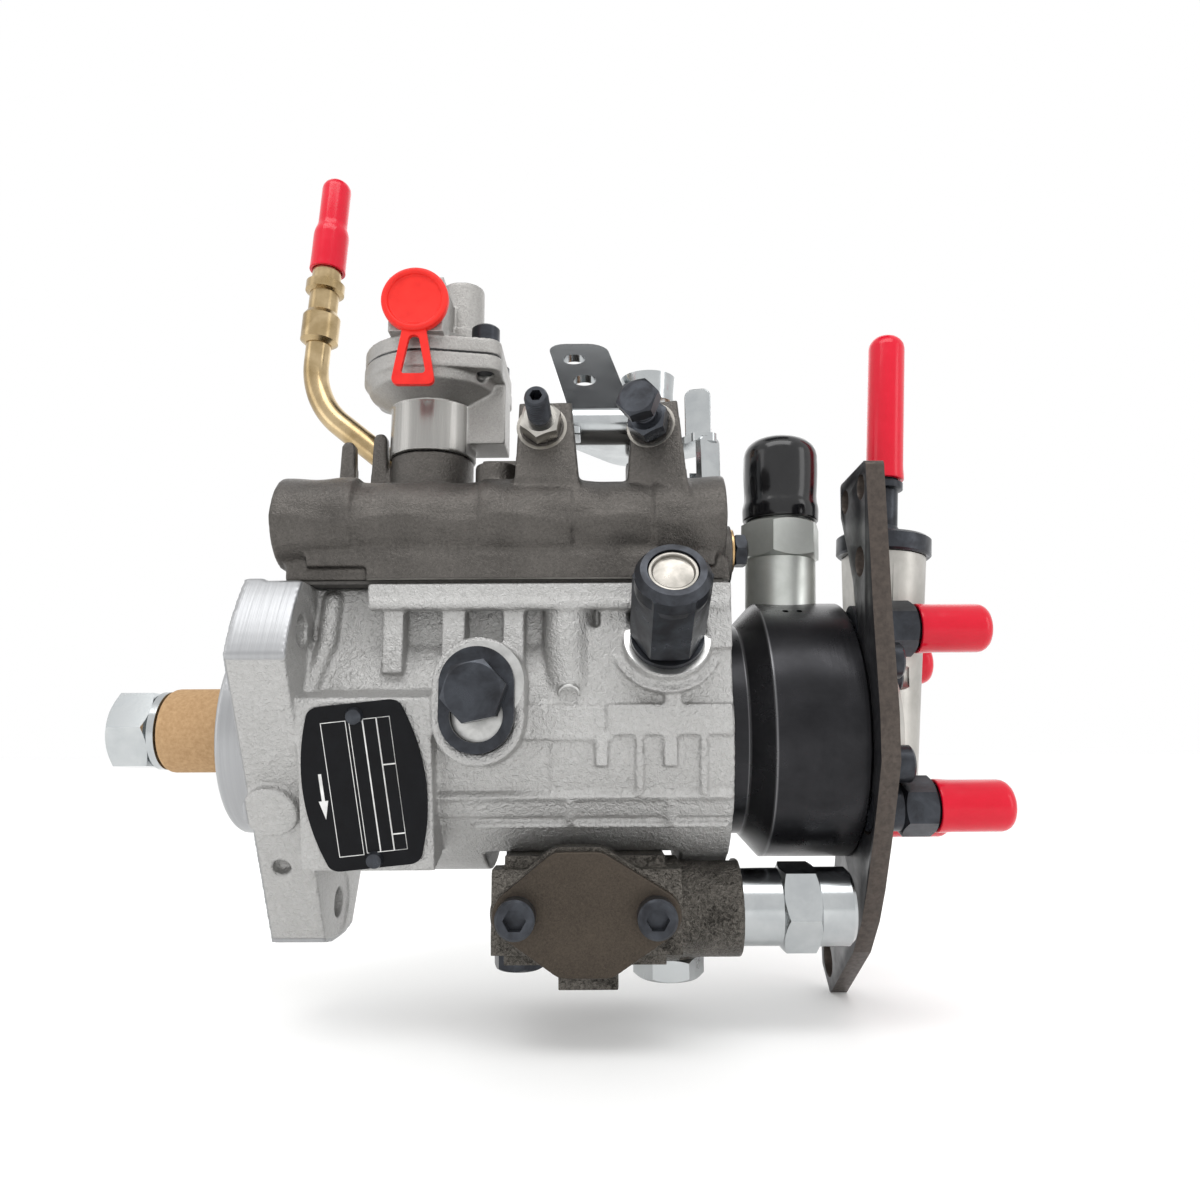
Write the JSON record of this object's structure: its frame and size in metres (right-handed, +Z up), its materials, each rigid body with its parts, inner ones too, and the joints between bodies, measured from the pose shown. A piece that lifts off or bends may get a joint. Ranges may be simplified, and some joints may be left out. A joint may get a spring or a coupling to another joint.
{
  "type": "diesel injection pump",
  "caption": "Rotary diesel injection pump with lobed mounting flange, finned casting, governor cover with throttle lever and boost capsule, timing advance unit, rear plate and capped outlets.",
  "frame": {"origin": "centre of the mounting flange's front face, on the drive shaft's axis", "axes": "+X along the drive shaft to the rear, where the outlets are; +Z up, towards the governor cover; -Y towards the side with the data plate"},
  "size_m": [0.2548, 0.1265, 0.2659],
  "materials": {
    "cast_aluminium": "as cast, blasted",
    "dark_cast": "as cast, dark conversion coat",
    "boost_cast": "die cast",
    "gasket": "pressed fibre sheet",
    "rubber": "matt moulded",
    "plate_black": "printed black on sheet metal",
    "black_oxide": "black oxide",
    "zinc_plate": "clear zinc plate",
    "head_black": "black oxide, turned",
    "painted_plate": "dark brown black paint",
    "dark_iron": "as cast, oiled",
    "ground_steel": "ground",
    "spring_steel": "drawn wire",
    "copper_spring": "coppered wire",
    "yellow_zinc": "yellow chromate on zinc",
    "kraft_sleeve": "brown paper tube",
    "bush_bronze": "sintered bronze",
    "red_vinyl": "soft dipped vinyl",
    "orange_red_plastic": "moulded polyethylene"
  },
  "bodies": {
    "pump_body": {"advance_bolts": "zinc_plate", "advance_cover": "dark_iron", "advance_damper": "zinc_plate", "advance_housing": "dark_iron", "advance_spring": "spring_steel", "boost_body": "boost_cast", "boost_cover": "boost_cast", "boost_diaphragm": "rubber", "boost_spring": "spring_steel", "cover_gasket": "gasket", "cover_plug": "black_oxide", "data_plate": "plate_black", "data_plate_rivets": "black_oxide", "delivery_holders": "black_oxide", "end_cover": "zinc_plate", "governor_cover": "dark_cast", "governor_spring": "spring_steel", "hydraulic_head": "head_black", "inlet_adaptor": "black_oxide", "inlet_union": "black_oxide", "lock_screw": "black_oxide", "lock_screw_spacer": "black_oxide", "pump_housing": "cast_aluminium", "rear_plate": "painted_plate", "return_pipe": "yellow_zinc", "screw_lock_nuts": "zinc_plate", "shaft_bush": "bush_bronze", "shaft_seal": "rubber", "socket_screws": "black_oxide", "spring_bracket": "zinc_plate", "stop_screws": "black_oxide", "stop_solenoid": "zinc_plate", "throttle_spring": "copper_spring"},
    "drive_line": {"drive_shaft": "ground_steel", "shaft_key": "ground_steel", "shaft_nut": "zinc_plate", "shaft_sleeve": "kraft_sleeve", "governor_cage": "ground_steel", "distributor_rotor": "ground_steel"},
    "thrust": {"thrust_sleeve": "ground_steel"},
    "weight_1": {"governor_weight_1": "ground_steel"},
    "weight_2": {"governor_weight_2": "ground_steel"},
    "arm": {"governor_arm": "ground_steel"},
    "valve": {"metering_valve": "ground_steel"},
    "element_1": {"plunger_1": "ground_steel"},
    "element_2": {"plunger_2": "ground_steel"},
    "advance": {"advance_piston": "ground_steel"},
    "cam": {"cam_ring": "ground_steel"},
    "throttle": {"throttle_shaft": "zinc_plate", "throttle_lever": "zinc_plate"},
    "boost": {"boost_pin": "ground_steel"},
    "stopper": {"stop_plunger": "ground_steel"},
    "outlet_cap_1": {"delivery_cap_1": "red_vinyl"},
    "outlet_cap_2": {"delivery_cap_2": "red_vinyl"},
    "outlet_cap_3": {"delivery_cap_3": "red_vinyl"},
    "outlet_cap_4": {"delivery_cap_4": "red_vinyl"},
    "fuel_cap": {"inlet_cap": "red_vinyl"},
    "pipe_cap": {"return_pipe_cap": "red_vinyl"},
    "port_cap": {"boost_port_cap": "orange_red_plastic"},
    "boot": {"solenoid_boot": "rubber"}
  },
  "joints": [
    {"name": "shaft_spin", "type": "hinge", "parent": "pump_body", "child": "drive_line", "pos_m": [0, 0, 0], "axis": [1, 0, 0], "continuous": true},
    {"name": "thrust_slide", "type": "slide", "parent": "drive_line", "child": "thrust", "axis": [1, 0, 0], "range_m": [0, 0.002], "stiffness_N_per_m": 900, "springref_m": -0.004},
    {"name": "weight_1_swing", "type": "hinge", "parent": "drive_line", "child": "weight_1", "pos_m": [0.032, 0, 0.018], "axis": [0, -1, 0], "range_deg": [0, 18.5]},
    {"name": "weight_2_swing", "type": "hinge", "parent": "drive_line", "child": "weight_2", "pos_m": [0.032, 0, -0.018], "axis": [0, 1, 0], "range_deg": [0, 18.5]},
    {"name": "governor_arm_swing", "type": "hinge", "parent": "pump_body", "child": "arm", "pos_m": [0.0586, 0, 0.044], "axis": [0, -1, 0], "range_deg": [0, 3.3]},
    {"name": "metering_valve_turn", "type": "hinge", "parent": "pump_body", "child": "valve", "pos_m": [0.112, 0, 0.03], "axis": [0, 0, 1], "range_deg": [0, 5]},
    {"name": "plunger_1_stroke", "type": "slide", "parent": "drive_line", "child": "element_1", "axis": [0, 1, 0], "range_m": [0, 0.002]},
    {"name": "plunger_2_stroke", "type": "slide", "parent": "drive_line", "child": "element_2", "axis": [0, -1, 0], "range_m": [0, 0.002]},
    {"name": "advance_slide", "type": "slide", "parent": "pump_body", "child": "advance", "axis": [0, -1, 0], "range_m": [0, 0.006], "stiffness_N_per_m": 2500, "springref_m": -0.003, "deforming": ["advance_spring"]},
    {"name": "cam_ring_turn", "type": "hinge", "parent": "pump_body", "child": "cam", "pos_m": [0.088, 0, 0], "axis": [-1, 0, 0], "range_deg": [0, 7.6]},
    {"name": "throttle_turn", "type": "hinge", "parent": "pump_body", "child": "throttle", "pos_m": [0.1075, 0.005, 0.09], "axis": [0, 0, -1], "range_deg": [0, 35], "stiffness_Nm_per_rad": 0.5, "springref_deg": -20.05, "deforming": ["throttle_spring"]},
    {"name": "boost_pin_slide", "type": "slide", "parent": "pump_body", "child": "boost", "axis": [0, 0, -1], "range_m": [0, 0.003], "stiffness_N_per_m": 2000, "springref_m": -0.003, "deforming": ["boost_spring"]},
    {"name": "stop_plunger_slide", "type": "slide", "parent": "pump_body", "child": "stopper", "axis": [0.035, 0, 0.9994], "range_m": [0, 0.002], "stiffness_N_per_m": 1000, "springref_m": -0.003},
    {"name": "outlet_cap_1_pull", "type": "slide", "parent": "pump_body", "child": "outlet_cap_1", "axis": [1, 0, 0], "range_m": [0, 0.03]},
    {"name": "outlet_cap_2_pull", "type": "slide", "parent": "pump_body", "child": "outlet_cap_2", "axis": [1, 0, 0], "range_m": [0, 0.03]},
    {"name": "outlet_cap_3_pull", "type": "slide", "parent": "pump_body", "child": "outlet_cap_3", "axis": [1, 0, 0], "range_m": [0, 0.03]},
    {"name": "outlet_cap_4_pull", "type": "slide", "parent": "pump_body", "child": "outlet_cap_4", "axis": [1, 0, 0], "range_m": [0, 0.03]},
    {"name": "fuel_cap_pull", "type": "slide", "parent": "pump_body", "child": "fuel_cap", "axis": [0.0698, 0, 0.9976], "range_m": [0, 0.045]},
    {"name": "pipe_cap_pull", "type": "slide", "parent": "pump_body", "child": "pipe_cap", "axis": [0.0606, 0.0178, 0.998], "range_m": [0, 0.033]},
    {"name": "port_cap_pull", "type": "slide", "parent": "pump_body", "child": "port_cap", "axis": [0, -1, 0], "range_m": [0, 0.012]},
    {"name": "boot_pull", "type": "slide", "parent": "pump_body", "child": "boot", "axis": [0.035, 0, 0.9994], "range_m": [0, 0.03]}
  ],
  "couplings": [
    {"joint": "weight_1_swing", "follows": "thrust_slide", "rad_per_m": 157},
    {"joint": "weight_2_swing", "follows": "thrust_slide", "rad_per_m": 157},
    {"joint": "governor_arm_swing", "follows": "thrust_slide", "rad_per_m": 27.5},
    {"joint": "metering_valve_turn", "follows": "thrust_slide", "rad_per_m": 41.25},
    {"joint": "plunger_2_stroke", "follows": "plunger_1_stroke", "ratio": 1},
    {"joint": "cam_ring_turn", "follows": "advance_slide", "rad_per_m": 21.74}
  ]
}
